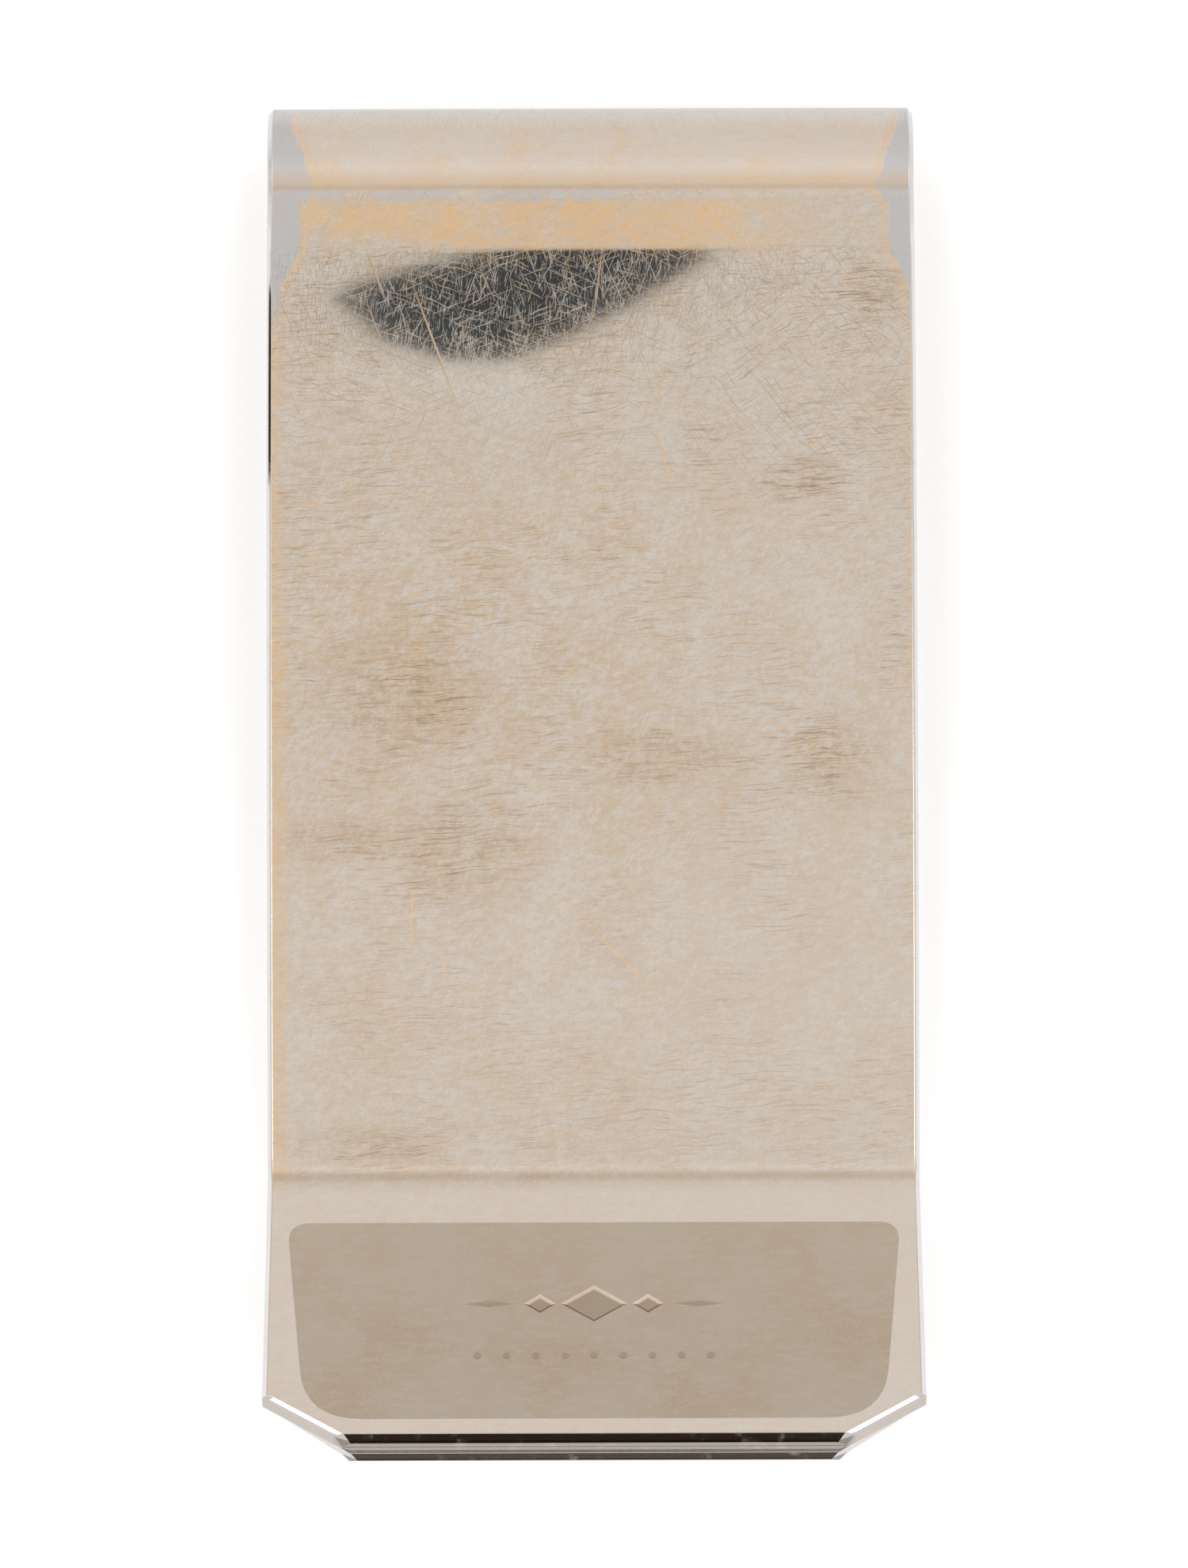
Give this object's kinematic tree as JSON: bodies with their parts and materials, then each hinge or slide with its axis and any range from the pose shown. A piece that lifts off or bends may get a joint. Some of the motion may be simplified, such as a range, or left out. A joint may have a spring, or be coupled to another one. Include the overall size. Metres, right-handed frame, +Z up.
{
  "type": "money clip",
  "caption": "Folded spring-strip money clip: a flat front plate, a rolled bend and a bowed spring leaf that pinches near its end and flares into a thumb lip with a plain sunk panel",
  "frame": {"origin": "the middle of the clip's outline, on the plane that the front plate's outer face lies on", "axes": "X across the strip, Y along it with the folded end at +Y and the thumb lip at -Y, Z up from the front plate to the spring leaf"},
  "size_m": [0.025, 0.0524, 0.0082],
  "materials": {
    "plated_metal": "warm champagne plating on spring steel, semi-gloss, finely scratched by use, with polished bevels and a satin sunk panel on the lip"
  },
  "bodies": {
    "front": {"front_plate": "plated_metal", "spring_bend": "plated_metal"},
    "leaf": {"spring_shoulder": "plated_metal", "spring_leaf": "plated_metal", "thumb_lip": "plated_metal"}
  },
  "joints": [
    {"name": "clip_opening", "type": "hinge", "parent": "front", "child": "leaf", "pos_m": [0, 0.024, 0.0023], "axis": [-1, 0, 0], "range_deg": [0, 10], "stiffness_Nm_per_rad": 0.8, "springref_deg": -8.59}
  ]
}
